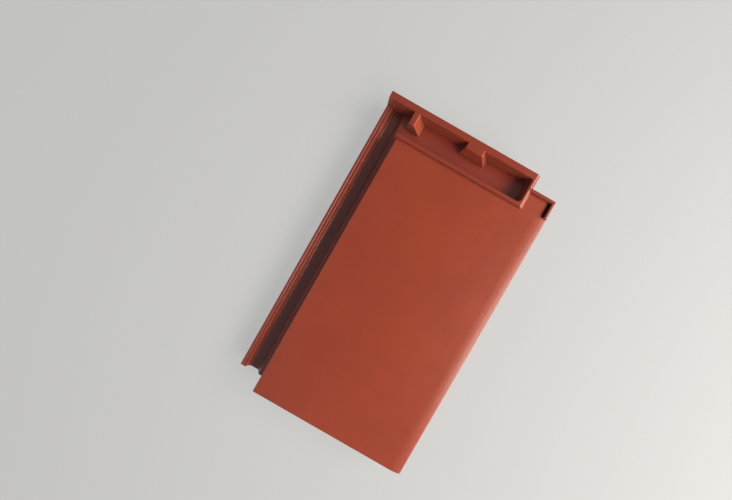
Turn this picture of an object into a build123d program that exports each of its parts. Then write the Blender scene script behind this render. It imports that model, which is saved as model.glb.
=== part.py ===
"""Flat interlocking clay roof tile, pressed and fired as one piece.

While it is modelled, X runs across the tile from its left edge, a distance "from the head"
runs down the tile along -Y, and Z is 0 on top of the pan, the flat part that shows on a roof.
At the end the tile is laid on a level floor: it stands on its two hanging nibs and on the lock
rib, which drops into the trough of the tile below when the tile is on a roof.
"""

from build123d import *
from math import atan2, degrees
import os

# Overall sizes
TILE_WIDTH = 280.0
TILE_LENGTH = 460.0
PAN_THICKNESS = 13.0
PAN_ARRIS = 1.5               # rounding of the pan's own edges
ARRIS = 0.8                   # rounding of the lock ribs
TOP_ARRIS = 1.2               # rounding of the head wall, rim, blocks and lip

# Heights
RIM_HEIGHT = 4.5              # head wall, trough rim, lip and blocks stand this far above the pan
TROUGH_DEPTH = 20.0           # below the rim; the side lock's ribs and ledge are level with its floor
GROOVE_DEPTH = 0.45           # between the two lock ribs, below their tops
STEP_DEPTH = 6.1              # narrow step beside the channel, below the lock ribs' tops
CHANNEL_DEPTH = 7.9           # below the lock ribs' tops
CHANNEL_FLOOR = 6.1           # clay under the channel
TROUGH_FLOOR = 10.0           # clay under the trough
LEDGE_FLOOR = 7.5             # clay under the ledge

# Side lock, across the tile from its left edge
OUTER_SIDE_DRAFT = 1.4
OUTER_RIB_WIDTH = 3.8
OUTER_RIB_ROUNDING = 2.0      # of its outer edge
GROOVE_WIDTH = 2.8
INNER_RIB_WIDTH = 2.3
STEP_WIDTH = 2.5
STEP_DRAFT = 0.7
CHANNEL_WIDTH = 11.5
CHANNEL_SLOPE = 7.0           # across, from the channel up to the ledge
LEDGE_WIDTH = 9.0
PAN_SIDE_DRAFT = 1.4
RIB_DRAFT = 0.6
CHANNEL_FILLET = 2.0
BLEND_WIDTH = 19.6            # from the pan's edge to where the lock has run out underneath
LOCK_UNDERSIDE_END = 2.0      # past the channel's right side

# Head wall and trough, from the head
WALL_BACK_DRAFT = 1.2
WALL_WIDTH = 9.45
WALL_FRONT_DRAFT = 2.1
WALL_END_DRAFT = 6.4          # left end, above the lock ribs
TROUGH_WIDTH = 37.05
TROUGH_FRONT_DRAFT = 1.9
TROUGH_END_DRAFT = 5.0
TROUGH_FRONT_CORNER = 6.5
TROUGH_BACK_CORNER = 3.0
RIM_WIDTH = 4.8
RIM_DRAFT = 0.7
END_WALL_WIDTH = 3.6
END_WALL_DRAFT = 3.6          # its rounded outer side
END_WALL_ROUNDING = 4.0
END_GAP = 0.3                 # between the head's right end and the next tile
LUG_WIDTH = 2.5               # small lug behind the head wall's right end, at its top
LUG_REACH = 2.8
LUG_HEIGHT = 6.0
LUG_DRAFT = 1.5

# The two blocks that stand in the trough against the head wall
LONG_BLOCK_MIDDLE = 52.6
LONG_BLOCK_WIDTH = 8.2
LONG_BLOCK_SIDE_DRAFT = 7.2
LONG_BLOCK_FRONT = 29.4
LONG_BLOCK_FRONT_DRAFT = 1.7
WIDE_BLOCK_MIDDLE = 145.8
WIDE_BLOCK_WIDTH = 25.0
WIDE_BLOCK_SIDE_DRAFT = 8.3
WIDE_BLOCK_FRONT = 19.4
WIDE_BLOCK_FRONT_DRAFT = 4.9

# Head edge right of the trough: lip, pocket and the rib beside it
SET_BACK = 21.9
LIP_BACK_DRAFT = 0.5
LIP_WIDTH = 4.2
LIP_DRAFT = 0.7
SIDE_RIB_WIDTH = 3.2
SIDE_RIB_DRAFT = 3.2          # outer side
SIDE_RIB_LENGTH = 21.7        # past the lip
POCKET_WIDTH = 4.4
POCKET_LENGTH = 21.9
POCKET_DEPTH = 9.0
POCKET_DRAFT = 2.6
POCKET_CORNER = 0.8

# Cover flange, which lies over the next tile's side lock
SIDE_GAP = 4.4                # between this tile's right edge and the next tile's pan
COVER_CLEARANCE = 1.1
CROWN_WIDTH = 18.0            # the right edge curves down over this width
CROWN_DROP = 2.2
FLANGE_ARRIS = 2.4
HOOK_RIB_WIDTH = 6.5
HOOK_RIB_GAP = 2.2            # beside the next tile's step
EDGE_RIB_WIDTH = 8.0
HOLLOW_ROOF = 11.5            # clay over the hollow between the two ribs of the flange

# Underside
UNDERSIDE_DRAFT = 1.5
SUPPORT_RIB_WIDTH = 9.0
SUPPORT_RIB_GAP = 2.0         # to the next tile
STIFFENER_WIDTH = 7.0
STIFFENER_DEPTH = 7.0
LONG_STIFFENERS = 3
CROSS_STIFFENERS = 1
LOCK_CUT_BACK = 14.0          # the side lock stops this far above the foot
FOOT_RIB_WIDTH = 12.0
FOOT_RIB_DEPTH = 21.5
RIM_GAP = 11.0                # between foot rib and lock rib, for the rim of the tile below
LOCK_RIB_WIDTH = 9.0
LOCK_RIB_DEPTH = 25.5
LOCK_RIB_CLEARANCE = 2.0      # to the end wall of the trough of the tile below

# Hanging nibs
NIB_WIDTH = 32.0
NIB_THICKNESS = 16.0
NIB_FACE = 46.0               # bearing face, from the head
NIB_REACH = 13.0              # below the side lock
NIB_DRAFT = 3.0
NIB_INSET = 84.0              # first nib's middle, from the left edge
NIB_SPACING = 114.0
REST_FLAT = 0.15              # taken off the lowest points, so that the tile rests on flats

BITE = 2.0                    # how far joined forms run into each other

# Levels, up from the top of the pan
TROUGH_LEVEL = RIM_HEIGHT - TROUGH_DEPTH
GROOVE_LEVEL = TROUGH_LEVEL - GROOVE_DEPTH
STEP_LEVEL = TROUGH_LEVEL - STEP_DEPTH
CHANNEL_LEVEL = TROUGH_LEVEL - CHANNEL_DEPTH
LOCK_UNDERSIDE = CHANNEL_LEVEL - CHANNEL_FLOOR
HEAD_UNDERSIDE = TROUGH_LEVEL - TROUGH_FLOOR

# Places across the tile
OUTER_RIB_RIGHT = OUTER_SIDE_DRAFT + OUTER_RIB_WIDTH
INNER_RIB_LEFT = OUTER_RIB_RIGHT + GROOVE_WIDTH
INNER_RIB_RIGHT = INNER_RIB_LEFT + INNER_RIB_WIDTH
STEP_RIGHT = INNER_RIB_RIGHT + STEP_WIDTH
CHANNEL_LEFT = STEP_RIGHT + STEP_DRAFT
CHANNEL_RIGHT = CHANNEL_LEFT + CHANNEL_WIDTH
LEDGE_LEFT = CHANNEL_RIGHT + CHANNEL_SLOPE
LEDGE_RIGHT = LEDGE_LEFT + LEDGE_WIDTH
PAN_LEFT = LEDGE_RIGHT + PAN_SIDE_DRAFT
BLEND_RIGHT = PAN_LEFT + BLEND_WIDTH
COVER_WIDTH = TILE_WIDTH + SIDE_GAP - PAN_LEFT      # from one tile to the next across the roof
END_WALL_FOOT = COVER_WIDTH - END_GAP
END_WALL_RIGHT = END_WALL_FOOT - END_WALL_DRAFT
TROUGH_RIGHT = END_WALL_RIGHT - END_WALL_WIDTH

# Places from the head
WALL_FRONT = WALL_BACK_DRAFT + WALL_WIDTH
TROUGH_FRONT = WALL_FRONT + TROUGH_WIDTH
RIM_FRONT = TROUGH_FRONT + RIM_WIDTH
LIP_FRONT = SET_BACK + LIP_BACK_DRAFT + LIP_WIDTH


def across(points):
    """A face in the tile's cross-section, from (across, level) points."""
    return make_face(Polyline(*points, close=True))


def round_corners(section, places, radius):
    """Round the corners of a cross-section that lie at the given (across, level) places."""
    corners = [section.vertices().sort_by_distance((x, level, 0))[0] for x, level in places]
    return fillet(corners, radius)


def nearest_edge(shape, point):
    """The edge of a shape that lies nearest to a point."""
    return shape.edges().sort_by_distance(point)[0]


def run_down(section, start, end):
    """Extrude a cross-section between two distances from the head."""
    return extrude(Plane.XZ.offset(start) * section, amount=end - start)


def run_across(points, left, right):
    """Extrude a lengthwise section, given as (from the head, level), between two sides."""
    outline = make_face(Polyline(*[(-down, level) for down, level in points], close=True))
    return extrude(Plane.YZ.offset(left) * outline, amount=right - left)


def drafted_block(low, low_level, high, high_level):
    """A block with flat drafted sides between two rectangles, each (left, right, back, front)."""
    left, right, back, front = zip(low, high)
    seen_from_foot = across([
        (left[0], low_level), (right[0], low_level), (right[1], high_level), (left[1], high_level),
    ])
    seen_from_side = [
        (back[0], low_level), (front[0], low_level), (front[1], high_level), (back[1], high_level),
    ]
    return run_down(seen_from_foot, min(back), max(front)) & run_across(
        seen_from_side, min(left), max(right)
    )


def side_lock():
    """Two ribs, the water channel and the ledge, with the pan's left edge."""
    section = across([
        (0, LOCK_UNDERSIDE),
        (OUTER_SIDE_DRAFT, TROUGH_LEVEL),
        (OUTER_RIB_RIGHT, TROUGH_LEVEL),
        (OUTER_RIB_RIGHT + RIB_DRAFT, GROOVE_LEVEL),
        (INNER_RIB_LEFT - RIB_DRAFT, GROOVE_LEVEL),
        (INNER_RIB_LEFT, TROUGH_LEVEL),
        (INNER_RIB_RIGHT, TROUGH_LEVEL),
        (INNER_RIB_RIGHT + RIB_DRAFT, STEP_LEVEL),
        (STEP_RIGHT, STEP_LEVEL),
        (CHANNEL_LEFT, CHANNEL_LEVEL),
        (CHANNEL_RIGHT, CHANNEL_LEVEL),
        (LEDGE_LEFT, TROUGH_LEVEL),
        (LEDGE_RIGHT, TROUGH_LEVEL),
        (PAN_LEFT, 0),
        (BLEND_RIGHT, 0),
        (BLEND_RIGHT, -PAN_THICKNESS),
        (PAN_LEFT, TROUGH_LEVEL - LEDGE_FLOOR),
        (CHANNEL_RIGHT + LOCK_UNDERSIDE_END, LOCK_UNDERSIDE),
    ])
    section = round_corners(section, [(OUTER_SIDE_DRAFT, TROUGH_LEVEL)], OUTER_RIB_ROUNDING)
    rib_tops = [OUTER_RIB_RIGHT, INNER_RIB_LEFT, INNER_RIB_RIGHT]
    section = round_corners(section, [(x, TROUGH_LEVEL) for x in rib_tops], ARRIS)
    slope_ends = [(CHANNEL_RIGHT, CHANNEL_LEVEL), (LEDGE_LEFT, TROUGH_LEVEL)]
    section = round_corners(section, slope_ends, CHANNEL_FILLET)
    section = round_corners(section, [(PAN_LEFT, 0)], PAN_ARRIS)
    return run_down(section, 0, TILE_LENGTH - LOCK_CUT_BACK)


def pan():
    """The flat plate from the side lock to the cover flange."""
    side_at_underside = PAN_LEFT - PAN_SIDE_DRAFT * PAN_THICKNESS / -TROUGH_LEVEL
    section = across([
        (side_at_underside, -PAN_THICKNESS),
        (PAN_LEFT, 0),
        (COVER_WIDTH, 0),
        (COVER_WIDTH, -PAN_THICKNESS),
    ])
    section = round_corners(section, [(PAN_LEFT, 0)], PAN_ARRIS)
    return run_down(section, TROUGH_FRONT, TILE_LENGTH)


def cover_flange():
    """The right-hand flange, its crowned edge, and the two ribs under it."""
    hook_left = COVER_WIDTH + CHANNEL_LEFT + HOOK_RIB_GAP
    hook_right = hook_left + HOOK_RIB_WIDTH
    edge_left = TILE_WIDTH - EDGE_RIB_WIDTH
    over_ribs = TROUGH_LEVEL + COVER_CLEARANCE
    crown_left = TILE_WIDTH - CROWN_WIDTH
    crown = TangentArc((crown_left, 0), (TILE_WIDTH, -CROWN_DROP), tangent=(1, 0))
    rest = Polyline(
        (TILE_WIDTH, -CROWN_DROP),
        (TILE_WIDTH, over_ribs),
        (edge_left, over_ribs),
        (edge_left - UNDERSIDE_DRAFT, -HOLLOW_ROOF),
        (hook_right + UNDERSIDE_DRAFT, -HOLLOW_ROOF),
        (hook_right, CHANNEL_LEVEL + COVER_CLEARANCE),
        (hook_left, CHANNEL_LEVEL + COVER_CLEARANCE),
        (hook_left - UNDERSIDE_DRAFT, over_ribs),
        (END_WALL_RIGHT - BITE, over_ribs),
        (END_WALL_RIGHT - BITE, 0),
        (crown_left, 0),
    )
    section = make_face(crown + rest)
    section = round_corners(section, [(TILE_WIDTH, -CROWN_DROP)], FLANGE_ARRIS)
    return run_down(section, SET_BACK, TILE_LENGTH)


def head():
    """The high wall along the head and the tray in front of it, with their drafted ends."""
    wall = run_across([
        (0, HEAD_UNDERSIDE),
        (WALL_BACK_DRAFT, RIM_HEIGHT),
        (WALL_FRONT, RIM_HEIGHT),
        (WALL_FRONT + WALL_FRONT_DRAFT, TROUGH_LEVEL),
        (WALL_FRONT + WALL_FRONT_DRAFT, HEAD_UNDERSIDE),
    ], 0, END_WALL_FOOT)
    tray = run_across([
        (BITE, HEAD_UNDERSIDE),
        (BITE, RIM_HEIGHT),
        (RIM_FRONT, RIM_HEIGHT),
        (RIM_FRONT + RIM_DRAFT, 0),
        (RIM_FRONT + RIM_DRAFT, HEAD_UNDERSIDE),
    ], LEDGE_LEFT, END_WALL_FOOT)
    open_end = across([
        (0, TROUGH_LEVEL),
        (LEDGE_RIGHT, TROUGH_LEVEL),
        (PAN_LEFT, 0),
        (PAN_LEFT, RIM_HEIGHT + BITE),
        (0, RIM_HEIGHT + BITE),
    ])
    outline = across([
        (0, LOCK_UNDERSIDE),
        (OUTER_SIDE_DRAFT, TROUGH_LEVEL),
        (OUTER_SIDE_DRAFT + WALL_END_DRAFT, RIM_HEIGHT),
        (END_WALL_RIGHT, RIM_HEIGHT),
        (END_WALL_FOOT, 0),
        (END_WALL_FOOT, LOCK_UNDERSIDE),
    ])
    outline = round_corners(outline, [(END_WALL_RIGHT, RIM_HEIGHT)], END_WALL_ROUNDING)
    end = RIM_FRONT + BITE
    return (wall + (tray - run_down(open_end, 0, end))) & run_down(outline, 0, end)


def trough():
    """The hollow of the head, drafted, with rounded right corners, and open to the side lock."""
    floor = (
        LEDGE_LEFT, TROUGH_RIGHT - TROUGH_END_DRAFT,
        WALL_FRONT + WALL_FRONT_DRAFT, TROUGH_FRONT - TROUGH_FRONT_DRAFT,
    )
    mouth = (LEDGE_LEFT, TROUGH_RIGHT, WALL_FRONT, TROUGH_FRONT)
    hollow = drafted_block(floor, TROUGH_LEVEL, mouth, RIM_HEIGHT)
    corners = hollow.edges().filter_by(lambda edge: edge.bounding_box().size.Z > TROUGH_DEPTH / 2)
    front_corner, back_corner = corners.sort_by(Axis.X)[-2:].sort_by(Axis.Y)
    hollow = fillet(front_corner, TROUGH_FRONT_CORNER)
    return fillet(nearest_edge(hollow, back_corner.center()), TROUGH_BACK_CORNER)


def trough_block(middle, width, side_draft, front, front_draft):
    """A drafted block that stands in the trough against the head wall."""
    left = middle - width / 2
    right = middle + width / 2
    back = WALL_BACK_DRAFT + BITE
    base = (left - side_draft, right + side_draft, back, front + front_draft)
    return drafted_block(base, TROUGH_LEVEL, (left, right, back, front), RIM_HEIGHT)


def corner_lip():
    """The low lip along the set-back head edge, and the rib beside the pocket."""
    lip = run_across([
        (SET_BACK, -BITE),
        (SET_BACK + LIP_BACK_DRAFT, RIM_HEIGHT),
        (LIP_FRONT, RIM_HEIGHT),
        (LIP_FRONT + LIP_DRAFT, 0),
        (LIP_FRONT + LIP_DRAFT, -BITE),
    ], END_WALL_RIGHT - BITE, TILE_WIDTH)
    rib_end = LIP_FRONT + SIDE_RIB_LENGTH
    rib_right = TILE_WIDTH - SIDE_RIB_DRAFT
    rib = run_across([
        (LIP_FRONT - BITE, -BITE),
        (LIP_FRONT - BITE, RIM_HEIGHT),
        (rib_end, RIM_HEIGHT),
        (rib_end + LIP_DRAFT, 0),
        (rib_end + LIP_DRAFT, -BITE),
    ], rib_right - SIDE_RIB_WIDTH, TILE_WIDTH)
    outline = across([
        (END_WALL_RIGHT - BITE, -CROWN_DROP - BITE),
        (END_WALL_RIGHT - BITE, RIM_HEIGHT),
        (rib_right, RIM_HEIGHT),
        (TILE_WIDTH, -CROWN_DROP),
        (TILE_WIDTH, -CROWN_DROP - BITE),
    ])
    return (lip + rib) & run_down(outline, SET_BACK, rib_end + BITE)


def corner_pocket():
    """The deep narrow pocket between the lip and the rib at the head's right corner."""
    right = TILE_WIDTH - SIDE_RIB_DRAFT - SIDE_RIB_WIDTH
    left = right - POCKET_WIDTH
    start = LIP_FRONT + LIP_DRAFT
    end = start + POCKET_LENGTH
    floor = (left + POCKET_DRAFT, right, start, end - POCKET_DRAFT)
    pocket = drafted_block(floor, -POCKET_DEPTH, (left, right, start, end), BITE)
    corners = pocket.edges().filter_by(lambda edge: edge.bounding_box().size.Z > POCKET_DEPTH / 2)
    return fillet(corners.sort_by(Axis.Y)[:2], POCKET_CORNER)


def corner_lug():
    """The small lug that stands out behind the head wall's right end."""
    right = END_WALL_RIGHT
    left = right - LUG_WIDTH
    base = (left - LUG_DRAFT, right, -LUG_REACH, BITE)
    return drafted_block(base, -LUG_HEIGHT, (left, right, 0, BITE), 0)


def round_top_edges(body):
    """Round the edge of the flat top that wall, rim, blocks, lip and rib share."""
    top = body.faces().sort_by(Axis.Z)[-1]
    return fillet(top.edges(), TOP_ARRIS)


def underside_rib(left, right, start, end, bottom):
    """A drafted rib that hangs from the pan's underside."""
    draft = UNDERSIDE_DRAFT
    narrow = (left + draft, right - draft, start + draft, end - draft)
    return drafted_block(narrow, bottom, (left, right, start, end), BITE - PAN_THICKNESS)


def underside_ribs():
    """Support rib beside the next tile, stiffeners, and the two ribs at the foot."""
    support_right = COVER_WIDTH - SUPPORT_RIB_GAP
    support_left = support_right - SUPPORT_RIB_WIDTH
    lock_rib_front = TILE_LENGTH - FOOT_RIB_WIDTH - RIM_GAP
    lock_rib_back = lock_rib_front - LOCK_RIB_WIDTH
    ribs = [underside_rib(
        support_left, support_right, RIM_FRONT - BITE, TILE_LENGTH - LOCK_CUT_BACK, LOCK_UNDERSIDE,
    )]

    half = STIFFENER_WIDTH / 2
    low = -PAN_THICKNESS - STIFFENER_DEPTH
    long_spacing = (support_left - BLEND_RIGHT) / LONG_STIFFENERS
    for number in range(LONG_STIFFENERS):
        middle = BLEND_RIGHT + long_spacing * (number + 0.5)
        ribs.append(underside_rib(
            middle - half, middle + half, RIM_FRONT - BITE, lock_rib_back + BITE, low,
        ))
    cross_spacing = (lock_rib_back - RIM_FRONT) / (CROSS_STIFFENERS + 1)
    for number in range(CROSS_STIFFENERS):
        middle = RIM_FRONT + cross_spacing * (number + 1)
        ribs.append(underside_rib(PAN_LEFT, support_left + BITE, middle - half, middle + half, low))

    lock_rib_right = TROUGH_RIGHT - TROUGH_END_DRAFT - LOCK_RIB_CLEARANCE
    ribs.append(underside_rib(
        PAN_LEFT, lock_rib_right, lock_rib_back, lock_rib_front, -PAN_THICKNESS - LOCK_RIB_DEPTH,
    ))
    foot_rib_back = TILE_LENGTH - FOOT_RIB_WIDTH
    ribs.append(run_across([
        (foot_rib_back, BITE - PAN_THICKNESS),
        (foot_rib_back + UNDERSIDE_DRAFT, -PAN_THICKNESS - FOOT_RIB_DEPTH),
        (TILE_LENGTH, -PAN_THICKNESS - FOOT_RIB_DEPTH),
        (TILE_LENGTH, BITE - PAN_THICKNESS),
    ], LEDGE_RIGHT, support_right))
    return ribs


def hanging_nibs():
    """The two nibs that hook over the roof batten."""
    bottom = LOCK_UNDERSIDE - NIB_REACH
    back = NIB_FACE - NIB_THICKNESS
    nibs = []
    for middle in (NIB_INSET, NIB_INSET + NIB_SPACING):
        left = middle - NIB_WIDTH / 2
        right = middle + NIB_WIDTH / 2
        narrow = (left + NIB_DRAFT, right - NIB_DRAFT, back + NIB_DRAFT, NIB_FACE)
        nibs.append(drafted_block(narrow, bottom, (left, right, back, NIB_FACE), HEAD_UNDERSIDE + BITE))
    return nibs


def lay_on_floor(tile):
    """Turn the tile onto its nibs and lock rib, with its box's bottom centre at the origin."""
    nib_bottom = LOCK_UNDERSIDE - NIB_REACH
    rib_bottom = -PAN_THICKNESS - LOCK_RIB_DEPTH
    rib_front = TILE_LENGTH - FOOT_RIB_WIDTH - RIM_GAP - UNDERSIDE_DRAFT
    slope = degrees(atan2(rib_bottom - nib_bottom, rib_front - NIB_FACE))
    tile = Rot(slope, 0, 0) * tile
    low = tile.bounding_box().min.Z + REST_FLAT
    tile = split(tile, bisect_by=Plane.XY.offset(low), keep=Keep.TOP)
    box = tile.bounding_box()
    return Pos(-box.center().X, -box.center().Y, -box.min.Z) * tile


def roof_tile():
    """The whole tile as one solid."""
    body = pan() + side_lock() + cover_flange() + head() + corner_lip()
    body += corner_lug()
    body -= trough() + corner_pocket()
    body += trough_block(
        LONG_BLOCK_MIDDLE, LONG_BLOCK_WIDTH, LONG_BLOCK_SIDE_DRAFT,
        LONG_BLOCK_FRONT, LONG_BLOCK_FRONT_DRAFT,
    )
    body += trough_block(
        WIDE_BLOCK_MIDDLE, WIDE_BLOCK_WIDTH, WIDE_BLOCK_SIDE_DRAFT,
        WIDE_BLOCK_FRONT, WIDE_BLOCK_FRONT_DRAFT,
    )
    body = round_top_edges(body)
    for form in underside_ribs() + hanging_nibs():
        body += form
    return lay_on_floor(body)


os.makedirs("parts", exist_ok=True)
export_step(roof_tile(), "parts/roof_tile.step")
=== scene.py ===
"""Looks for the clay roof tile: rounded arrises, engobed clay, soft daylight from the right."""

import math

import bmesh
import bpy
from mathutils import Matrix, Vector


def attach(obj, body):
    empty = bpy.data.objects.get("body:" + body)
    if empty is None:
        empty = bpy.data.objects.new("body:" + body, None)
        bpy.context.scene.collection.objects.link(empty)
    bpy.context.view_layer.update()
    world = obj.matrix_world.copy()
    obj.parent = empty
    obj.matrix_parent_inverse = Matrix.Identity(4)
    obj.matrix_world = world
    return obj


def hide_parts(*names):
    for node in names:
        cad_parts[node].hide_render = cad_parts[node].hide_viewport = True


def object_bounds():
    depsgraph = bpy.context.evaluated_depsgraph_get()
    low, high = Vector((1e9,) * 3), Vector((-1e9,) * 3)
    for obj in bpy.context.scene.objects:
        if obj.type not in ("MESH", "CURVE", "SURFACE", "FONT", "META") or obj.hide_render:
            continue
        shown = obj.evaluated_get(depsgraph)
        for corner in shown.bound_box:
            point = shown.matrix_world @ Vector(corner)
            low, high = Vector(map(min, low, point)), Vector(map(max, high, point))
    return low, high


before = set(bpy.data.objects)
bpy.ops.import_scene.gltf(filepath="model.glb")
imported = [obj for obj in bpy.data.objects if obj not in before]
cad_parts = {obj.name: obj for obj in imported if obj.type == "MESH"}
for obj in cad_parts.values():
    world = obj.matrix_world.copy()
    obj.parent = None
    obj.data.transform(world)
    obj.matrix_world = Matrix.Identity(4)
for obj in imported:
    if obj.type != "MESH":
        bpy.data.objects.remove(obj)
cad_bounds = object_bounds()

NODE = "roof_tile"

# Lengths are in metres, but for the camera's sensor, and angles in degrees

# Camera: above the tile, looking straight down, with the tile's head up to the right
CAMERA_PLACE = (0.0344, 0.0483, 0.3957)
CAMERA_TURN = 29.85
CAMERA_SHIFT = (-0.0921, 0.0204)
CAMERA_NEAR = 0.01              # nearest distance that shows
SENSOR = 36.0                   # in millimetres
FOCAL_SHARE = 255.4 / 732       # focal length over the picture's width

# The tile lies on its nibs and lock rib, so its pan slopes a little, up towards the head
PAN_HEIGHT = 0.0405             # of the pan's top over the floor, at the middle of the tile
PAN_SLOPE = 0.0103              # rise over length

# Faces and edges of the mesh
WELD = 2e-6                     # points nearer than this are one point
FLAT_ANGLE = 0.4                # faces that turn less are one face
SHARP_ANGLE = 24.0              # an edge that turns more is sharp
ARRIS = 0.0005                  # size of a rounded arris
ARRIS_SEGMENTS = 2
ARRIS_PROFILE = 0.5             # round
ARRIS_ROOM = 2.4                # room that an arris needs in the faces beside it, in arrises
ALONG = 0.85                    # an edge within this cosine of an arris runs on along it
FOLD_ANGLE = 140.0              # a surface that turns more folds back on itself
FOLD_REACH = 0.0012             # edges this near a fold aren't rounded
ROUNDING_TRIES = 4
FACE_WEIGHT = 100               # how much more the larger faces count for the shading

# Back of the head wall, and the end of the side lock that stands out behind it
BACK_FACING = (0.9980, 0.9995)  # how squarely the drafted back looks back
BACK_RISE = 0.03                # how far it looks up, at least
END_STEP = 0.0013               # the lock's end stands out by less than this

# Ends at the right edge, each in a room in the right, head and top corner of the CAD box
RIB_FOOT_ROOM = (0.0002, 0.0564, 0.0073)    # outer foot of the rib beside the pocket
RIB_FOOT_DROP = 0.00146                     # from that foot down to the crowned edge
CROWN_END_ROOM = (0.0015, 0.0254, 0.0093)   # end of the crowned edge, too narrow to round

# Colours of the engobe, by where it lies; the sunk and raised ones are painted shade, the steep
# one a painted sky reflection
ENGOBE = (0.318, 0.0375, 0.0075, 1)
ENGOBE_DARK = (0.286, 0.0320, 0.0065, 1)
ENGOBE_LIGHT = (0.346, 0.0430, 0.0095, 1)
# painted shade: level faces sunk 3 to 9 mm below the pan are darkened, as shade falls in the
# recesses
SUNK_SHADE_COLOUR = (0.262, 0.0275, 0.0080, 1)
# painted shade: level faces raised over the pan are darkened
RAISED_SHADE_COLOUR = (0.262, 0.0280, 0.0062, 1)
# painted sky reflection: faces that look less far up are paler and cooler
STEEP_SKY_REFLECTION_COLOUR = (0.300, 0.0520, 0.0230, 1)

# Colours of the bare clay, of dark specks, and of the painted shade in the channel, in inner
# corners and in deep hollows
RAW_CLAY = (0.46, 0.165, 0.085, 1)
RAW_CLAY_DARK = (0.36, 0.115, 0.058, 1)
# painted shade: the channel's floor, 17 to 22 mm below the pan, darkened where the pan's edge
# shades it
CHANNEL_SHADE_COLOUR = (0.060, 0.0160, 0.0080, 1)
# painted shade: darkening along inner corners and the feet of walls
CORNER_SHADE_COLOUR = (0.120, 0.0230, 0.0100, 1)
# painted shade: a dark, greyed colour in deep hollows, where the light doesn't reach
HOLLOW_SHADE_COLOUR = (0.105, 0.040, 0.027, 1)
SPECK_DARK = (0.10, 0.022, 0.015, 1)

# Noise: cells in a metre, detail and roughness
CLOUDS = (16.0, 3.0, 0.55)
MOTTLE = (95.0, 5.0, 0.55)
GRAIN = (900.0, 3.0, 0.6)
SPECKS = (420.0, 2.0, 0.5)
WAVES = (22.0, 2.0, 0.55)
PEEL = (520.0, 4.0, 0.6)
PITS = (1500.0, 2.0, 0.55)

# Tints: a colour, the two values between which it comes in, and its share where it is strongest.
# The values are noise, height over the pan, how far up a face looks, or how open it lies.
CLOUDED = (ENGOBE_LIGHT, (0.35, 0.65), 1.0)
# painted shade on level faces that lie below the pan
PAINTED_SUNK_SHADE = (SUNK_SHADE_COLOUR, (-0.003, -0.009), 1.0)
# painted shade on level faces raised over the pan
PAINTED_RAISED_SHADE = (RAISED_SHADE_COLOUR, (0.0015, 0.004), 1.0)
# painted shade on the floor of the side lock's channel
PAINTED_CHANNEL_SHADE = (CHANNEL_SHADE_COLOUR, (-0.017, -0.022), 0.7)
# painted sky reflection on faces that look less far up
PAINTED_STEEP_REFLECTION = (STEEP_SKY_REFLECTION_COLOUR, (0.85, 0.5), 0.7)
MOTTLED = (ENGOBE_LIGHT, (0.40, 0.68), 0.15)
GRAINED = (ENGOBE_DARK, (0.55, 0.75), 0.22)
SPECKLED = (SPECK_DARK, (0.70, 0.76), 0.4)
# painted shade in inner corners
PAINTED_CORNER_SHADE = (CORNER_SHADE_COLOUR, (0.82, 0.50), 0.55)
# painted shade in deep hollows
PAINTED_HOLLOW_SHADE = (HOLLOW_SHADE_COLOUR, (0.48, 0.28), 0.8)
RAW_MOTTLED = (RAW_CLAY_DARK, (0.35, 0.7), 1.0)
RAW_GRAINED = (ENGOBE_DARK, (0.5, 0.72), 0.4)

# Where the engobe and its tints lie
ENGOBE_SHARE = 0.55             # of the plain colour over the clouds
LEVEL_FACES = (0.6, 0.9)        # how far up level faces look
BARE_FACES = (-0.20, -0.45)     # how far up faces look where the engobe gives way to bare clay
BARE_WAVER = 0.5                # unevenness of the line between them
CORNER_REACH = 0.006            # of the painted shade in inner corners
HOLLOW_REACH = 0.03             # of the painted shade in deep hollows
OPENNESS_SAMPLES = 8

# Gloss: the engobe's roughness goes from least to most as the mottle goes through its range
MOTTLE_RANGE = (0.3, 0.7)
ENGOBE_ROUGHNESS = (0.40, 0.46)
RAW_ROUGHNESS = 0.85
SHEEN = 0.04
COAT = 0.4
COAT_ROUGHNESS = 0.3

# Relief: heights as shares of its depth
WAVES_HEIGHT = 0.6
PEEL_HEIGHT = 0.045
PITS_HEIGHT = 0.012
BUMP_STRENGTH = 0.55
BUMP_DEPTH = 0.0012

# Floor
FLOOR_SIZE = 6.0
FLOOR_DROP = 0.0001             # the floor lies this far below the tile
FLOOR_COLOUR = (0.50, 0.50, 0.495, 1)
FLOOR_ROUGHNESS = 0.9
FLOOR_SHINE = 0.1
FLOOR_GLOW = 1.45               # strength of the even glow that the camera sees in its colour
FLOOR_EVENNESS = 0.6            # share of that glow

# Light
SUNLIGHT = (1.0, 0.95, 0.83)
HAZE = (1.0, 0.97, 0.93)
SKYLIGHT = (0.84, 0.89, 1.0)
SKY_COLOUR = (0.90, 0.93, 1.0, 1)
SKY = 0.085                     # strength of the sky's light on the tile
SKY_SEEN = 0.50                 # its strength to the camera and in reflections

# Lamps: name, place, height of the point over the origin that it is aimed at, size, watts, colour
LAMPS = (
    ("key", (1.35, -0.20, 0.98), 0.04, (1.1, 0.80), 26.5, SUNLIGHT),
    ("back_key", (1.40, 0.66, 0.76), 0.04, (0.8, 0.55), 22.0, HAZE),
    ("low_key", (1.40, -0.85, 0.62), 0.04, (0.8, 0.45), 6.5, HAZE),
    ("fill", (-1.3, -0.30, 0.62), 0.03, (0.9, 0.6), 1.5, SKYLIGHT),
)


def place_in_scene(name, data):
    """A new object in the scene."""
    obj = bpy.data.objects.new(name, data)
    bpy.context.scene.collection.objects.link(obj)
    return obj


def in_corner(vert, room):
    """True for a point in a room in the right, head and top corner of the CAD box."""
    return all(value > far - size for value, far, size in zip(vert.co, cad_bounds[1], room))


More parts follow.
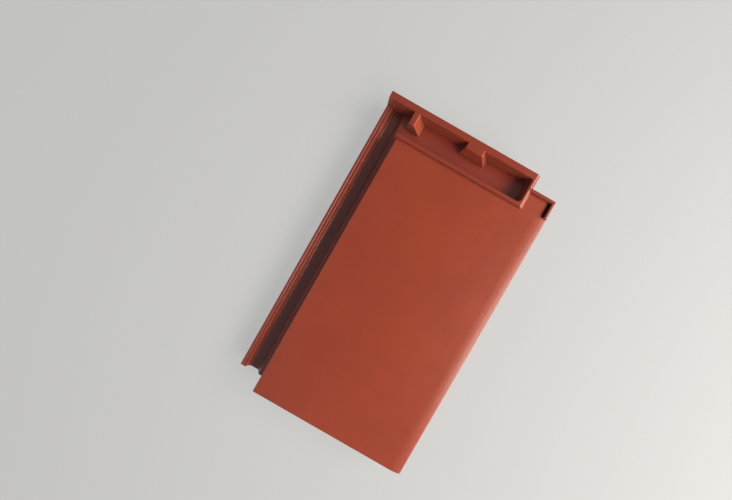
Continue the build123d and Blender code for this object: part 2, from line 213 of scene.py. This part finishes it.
def merge_flat(bm):
    """Weld equal points and join faces that lie in one plane."""
    bmesh.ops.remove_doubles(bm, verts=bm.verts, dist=WELD)
    bmesh.ops.dissolve_degenerate(bm, dist=WELD, edges=bm.edges)
    bmesh.ops.dissolve_limit(
        bm, angle_limit=math.radians(FLAT_ANGLE), use_dissolve_boundaries=False,
        verts=bm.verts, edges=bm.edges,
    )
    bm.normal_update()


def trim_lock_end(bm):
    """Bring the side lock's end flush with the drafted back of the head wall."""
    along = Vector((0, 1, PAN_SLOPE)).normalized()
    least, most = BACK_FACING
    back = max(
        (face for face in bm.faces if least < face.normal.y < most and face.normal.z > BACK_RISE),
        key=lambda face: face.calc_area(),
    )
    normal, place = back.normal.copy(), back.verts[0].co.copy()
    for vert in bm.verts:
        behind = (vert.co - place).dot(normal)
        if vert.co.x < 0 and 0 < behind < END_STEP:
            vert.co -= along * behind / along.dot(normal)


def close_rib_foot(bm):
    """Bring the side rib's outer foot down onto the crowned edge that falls away under it."""
    for vert in bm.verts:
        if in_corner(vert, RIB_FOOT_ROOM):
            vert.co.z -= RIB_FOOT_DROP


def turning_edges(bm, angle):
    """Edges between two faces where the surface turns by more than an angle."""
    return [
        edge for edge in bm.edges
        if len(edge.link_faces) == 2 and edge.calc_face_angle() > math.radians(angle)
    ]


def folds(bm):
    """Middles of the edges where the surface turns back on itself."""
    return [(edge.verts[0].co + edge.verts[1].co) / 2 for edge in turning_edges(bm, FOLD_ANGLE)]


def room_beside(edge):
    """Length of the shortest edge that leaves an edge's ends sideways in its two faces."""
    room = math.inf
    direction = (edge.verts[1].co - edge.verts[0].co).normalized()
    for loop in edge.link_loops:
        for side in (loop.link_loop_prev, loop.link_loop_next):
            beside = (side.edge.verts[1].co - side.edge.verts[0].co).normalized()
            if abs(direction.dot(beside)) < ALONG:
                room = min(room, side.edge.calc_length())
    return room


def can_be_rounded(edge, left_out):
    """True for an outer edge with room beside it, away from the places that are left out."""
    if edge.calc_face_angle_signed() <= 0 or room_beside(edge) <= ARRIS_ROOM * ARRIS:
        return False
    return not any(
        in_corner(vert, CROWN_END_ROOM)
        or any((vert.co - place).length < FOLD_REACH for place in left_out)
        for vert in edge.verts
    )


def round_arrises(bm, left_out):
    """Round the sharp outer edges, and mark the sharp edges that stay."""
    sharp = turning_edges(bm, SHARP_ANGLE)
    outer = [edge for edge in sharp if can_be_rounded(edge, left_out)]
    rounded = set(outer)
    for edge in sharp:
        edge.smooth = edge in rounded
    bmesh.ops.bevel(
        bm, geom=outer, affect="EDGES", offset=ARRIS, offset_type="OFFSET",
        segments=ARRIS_SEGMENTS, profile=ARRIS_PROFILE, clamp_overlap=False,
    )
    bmesh.ops.remove_doubles(bm, verts=bm.verts, dist=WELD)
    bm.normal_update()


def rounded_copy(bm):
    """A copy with rounded arrises, without those that would fold the surface back on itself."""
    sharp_corners = folds(bm)
    left_out = []
    for _ in range(ROUNDING_TRIES):
        rounded = bm.copy()
        round_arrises(rounded, left_out)
        new = [
            place for place in folds(rounded)
            if all((place - known).length > FOLD_REACH for known in sharp_corners)
        ]
        if not new:
            break
        left_out += new
    return rounded


def tile_body():
    """The tile as flat and rolled faces with small rounded arrises."""
    bm = bmesh.new()
    bm.from_mesh(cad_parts[NODE].data)
    merge_flat(bm)
    trim_lock_end(bm)
    close_rib_foot(bm)
    merge_flat(bm)
    rounded = rounded_copy(bm)
    mesh = bpy.data.meshes.new("tile_body")
    rounded.to_mesh(mesh)
    rounded.free()
    bm.free()
    for polygon in mesh.polygons:
        polygon.use_smooth = True
    obj = place_in_scene("tile_body", mesh)
    normals = obj.modifiers.new("normals", "WEIGHTED_NORMAL")
    normals.keep_sharp = True
    normals.weight = FACE_WEIGHT
    return obj


class Nodes:
    """A small helper that adds and links the nodes of one material."""

    def __init__(self, name):
        self.material = bpy.data.materials.new(name)
        self.material.use_nodes = True
        self.tree = self.material.node_tree
        self.shader = self.tree.nodes["Principled BSDF"]

    def feed(self, socket, value):
        """Give a socket a plain value, or the output of another node."""
        if isinstance(value, bpy.types.NodeSocket):
            self.tree.links.new(value, socket)
        else:
            socket.default_value = value

    def feed_inputs(self, node, inputs):
        """Feed a node's inputs by their names."""
        for name, value in inputs.items():
            self.feed(node.inputs[name], value)

    def add(self, kind, inputs=None, **settings):
        """A new node, with its settings made before its inputs are fed."""
        node = self.tree.nodes.new(kind)
        for name, value in settings.items():
            setattr(node, name, value)
        self.feed_inputs(node, inputs or {})
        return node

    def math(self, operation, first, second):
        """Two numbers added, multiplied or so on."""
        node = self.add("ShaderNodeMath", operation=operation)
        self.feed(node.inputs[0], first)
        self.feed(node.inputs[1], second)
        return node.outputs[0]

    def spread(self, value, between, onto=(0.0, 1.0)):
        """A value between two numbers, stretched onto two others and held there beyond them."""
        node = self.add("ShaderNodeMapRange", {
            "Value": value, "From Min": between[0], "From Max": between[1],
            "To Min": onto[0], "To Max": onto[1],
        })
        node.clamp = True
        return node.outputs["Result"]

    def mix(self, factor, first, second, kind="RGBA"):
        """A colour between two colours, or a number between two numbers for the kind FLOAT."""
        node = self.add("ShaderNodeMix", data_type=kind)
        sockets = {socket.name: socket for socket in node.inputs if socket.enabled}
        self.feed(sockets["Factor"], factor)
        self.feed(sockets["A"], first)
        self.feed(sockets["B"], second)
        return next(socket for socket in node.outputs if socket.enabled)

    def tint(self, colour, value, tint, within=None):
        """A colour with a tint over it, all over or within a mask."""
        tint_colour, between, share = tint
        amount = self.spread(value, between, (0.0, share))
        if within is not None:
            amount = self.math("MULTIPLY", within, amount)
        return self.mix(amount, colour, tint_colour)

    def noise(self, place, pattern):
        """A noise pattern in space, with values around 0.5."""
        scale, detail, roughness = pattern
        node = self.add("ShaderNodeTexNoise", {
            "Vector": place, "Scale": scale, "Detail": detail, "Roughness": roughness,
        })
        return node.outputs["Fac"]

    def openness(self, reach):
        """1 on open faces, less in inner corners and deep hollows."""
        node = self.add(
            "ShaderNodeAmbientOcclusion", {"Distance": reach},
            samples=OPENNESS_SAMPLES, only_local=True,
        )
        return node.outputs["AO"]

    def level_over_pan(self, place):
        """Height over the plane of the pan's top."""
        parts = self.add("ShaderNodeSeparateXYZ", {"Vector": place}).outputs
        pan = self.math("ADD", self.math("MULTIPLY", parts["Y"], PAN_SLOPE), PAN_HEIGHT)
        return self.math("SUBTRACT", parts["Z"], pan)


def engobe_colour(nodes, place, upward, mottle, grain):
    """Red engobe, with painted shade on level faces off the pan's level, in the channel, in inner
    corners and in deep hollows, and a painted sky reflection on steep faces.
    """
    clouded = nodes.tint(ENGOBE_DARK, nodes.noise(place, CLOUDS), CLOUDED)
    colour = nodes.mix(ENGOBE_SHARE, clouded, ENGOBE)
    level = nodes.level_over_pan(place)
    flat = nodes.spread(upward, LEVEL_FACES)
    # painted shade on level faces sunk below the pan, raised over it, and deep in the channel
    for tint in (PAINTED_SUNK_SHADE, PAINTED_RAISED_SHADE, PAINTED_CHANNEL_SHADE):
        colour = nodes.tint(colour, level, tint, within=flat)
    # painted sky reflection on steep faces
    colour = nodes.tint(colour, upward, PAINTED_STEEP_REFLECTION)
    colour = nodes.tint(colour, mottle, MOTTLED)
    colour = nodes.tint(colour, grain, GRAINED)
    colour = nodes.tint(colour, nodes.noise(place, SPECKS), SPECKLED)
    # painted shade in inner corners
    colour = nodes.tint(colour, nodes.openness(CORNER_REACH), PAINTED_CORNER_SHADE)
    # painted shade in deep hollows
    return nodes.tint(colour, nodes.openness(HOLLOW_REACH), PAINTED_HOLLOW_SHADE)


def raw_colour(nodes, mottle, grain):
    """Bare orange clay, mottled and grained."""
    return nodes.tint(nodes.tint(RAW_CLAY, mottle, RAW_MOTTLED), grain, RAW_GRAINED)


def relief(nodes, place):
    """Slow waves, orange-peel and small pits."""
    waves = nodes.math("MULTIPLY", nodes.noise(place, WAVES), WAVES_HEIGHT)
    peel = nodes.math("MULTIPLY", nodes.noise(place, PEEL), PEEL_HEIGHT)
    pits = nodes.math("MULTIPLY", nodes.noise(place, PITS), PITS_HEIGHT)
    height = nodes.math("ADD", nodes.math("ADD", waves, peel), pits)
    bump = nodes.add("ShaderNodeBump", {
        "Height": height, "Strength": BUMP_STRENGTH, "Distance": BUMP_DEPTH,
    })
    return bump.outputs["Normal"]


def clay_material():
    """Fired red clay: satin engobe above, bare clay underneath."""
    nodes = Nodes("fired_clay")
    place = nodes.add("ShaderNodeTexCoord").outputs["Object"]
    normal = nodes.add("ShaderNodeNewGeometry").outputs["Normal"]
    upward = nodes.add("ShaderNodeSeparateXYZ", {"Vector": normal}).outputs["Z"]
    mottle = nodes.noise(place, MOTTLE)
    grain = nodes.noise(place, GRAIN)
    waver = nodes.math("MULTIPLY", nodes.math("SUBTRACT", mottle, 0.5), BARE_WAVER)
    bare = nodes.spread(nodes.math("ADD", upward, waver), BARE_FACES)
    engobe = engobe_colour(nodes, place, upward, mottle, grain)
    satin = nodes.spread(mottle, MOTTLE_RANGE, ENGOBE_ROUGHNESS)
    nodes.feed_inputs(nodes.shader, {
        "Base Color": nodes.mix(bare, engobe, raw_colour(nodes, mottle, grain)),
        "Roughness": nodes.mix(bare, satin, RAW_ROUGHNESS, "FLOAT"),
        "Normal": relief(nodes, place),
        "Sheen Weight": SHEEN,
        "Coat Weight": COAT,
        "Coat Roughness": COAT_ROUGHNESS,
    })
    return nodes.material


def floor_material():
    """A pale floor that keeps the tile's shadow and looks even to the camera."""
    nodes = Nodes("pale_floor")
    nodes.feed_inputs(nodes.shader, {
        "Base Color": FLOOR_COLOUR,
        "Roughness": FLOOR_ROUGHNESS,
        "Specular IOR Level": FLOOR_SHINE,
    })
    rays = nodes.add("ShaderNodeLightPath").outputs
    seen = nodes.math("MAXIMUM", rays["Is Camera Ray"], rays["Is Glossy Ray"])
    seen = nodes.math("MAXIMUM", seen, rays["Is Transmission Ray"])
    glow = nodes.add("ShaderNodeEmission", {"Color": FLOOR_COLOUR, "Strength": FLOOR_GLOW})
    blend = nodes.add("ShaderNodeMixShader", {"Fac": nodes.math("MULTIPLY", seen, FLOOR_EVENNESS)})
    nodes.feed(blend.inputs[1], nodes.shader.outputs["BSDF"])
    nodes.feed(blend.inputs[2], glow.outputs["Emission"])
    nodes.feed(nodes.tree.nodes["Material Output"].inputs["Surface"], blend.outputs["Shader"])
    return nodes.material


def floor_plane():
    """A wide floor just below the tile."""
    bpy.ops.mesh.primitive_plane_add(size=FLOOR_SIZE, location=(0, 0, -FLOOR_DROP))
    plane = bpy.context.object
    plane.name = "floor"
    plane.data.materials.append(floor_material())
    return plane


def add_camera():
    """The photograph's camera."""
    optics = bpy.data.cameras.new("camera")
    optics.sensor_fit = "HORIZONTAL"
    optics.sensor_width = SENSOR
    optics.lens = SENSOR * FOCAL_SHARE
    optics.shift_x, optics.shift_y = CAMERA_SHIFT
    optics.clip_start = CAMERA_NEAR
    camera = place_in_scene("camera", optics)
    camera.location = CAMERA_PLACE
    camera.rotation_euler = (0, 0, math.radians(CAMERA_TURN))
    bpy.context.scene.camera = camera


def add_lamp(name, place, aim_height, size, power, colour):
    """A soft rectangular lamp, aimed at a point over the origin."""
    light = bpy.data.lights.new(name, "AREA")
    light.shape = "RECTANGLE"
    light.size, light.size_y = size
    light.energy = power
    light.color = colour
    lamp = place_in_scene(name, light)
    lamp.location = place
    direction = Vector((0, 0, aim_height)) - Vector(place)
    lamp.rotation_euler = direction.to_track_quat("-Z", "Y").to_euler()


def add_sky():
    """A dim sky that the camera and reflections see as a brighter one."""
    world = bpy.data.worlds.new("studio")
    bpy.context.scene.world = world
    world.use_nodes = True
    tree = world.node_tree
    background = tree.nodes["Background"]
    background.inputs["Color"].default_value = SKY_COLOUR
    rays = tree.nodes.new("ShaderNodeLightPath")
    seen = tree.nodes.new("ShaderNodeMath")
    seen.operation = "MAXIMUM"
    sky = tree.nodes.new("ShaderNodeMapRange")
    sky.inputs["To Min"].default_value = SKY
    sky.inputs["To Max"].default_value = SKY_SEEN
    tree.links.new(rays.outputs["Is Camera Ray"], seen.inputs[0])
    tree.links.new(rays.outputs["Is Glossy Ray"], seen.inputs[1])
    tree.links.new(seen.outputs[0], sky.inputs["Value"])
    tree.links.new(sky.outputs["Result"], background.inputs["Strength"])


clay = clay_material()
tile = tile_body()
tile.data.materials.append(clay)
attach(tile, "root")
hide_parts(NODE)
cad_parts[NODE].data.materials.clear()
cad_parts[NODE].data.materials.append(clay)

floor = floor_plane()

add_camera()
for lamp in LAMPS:
    add_lamp(*lamp)
add_sky()

scene = bpy.context.scene
scene.view_settings.view_transform = "Standard"
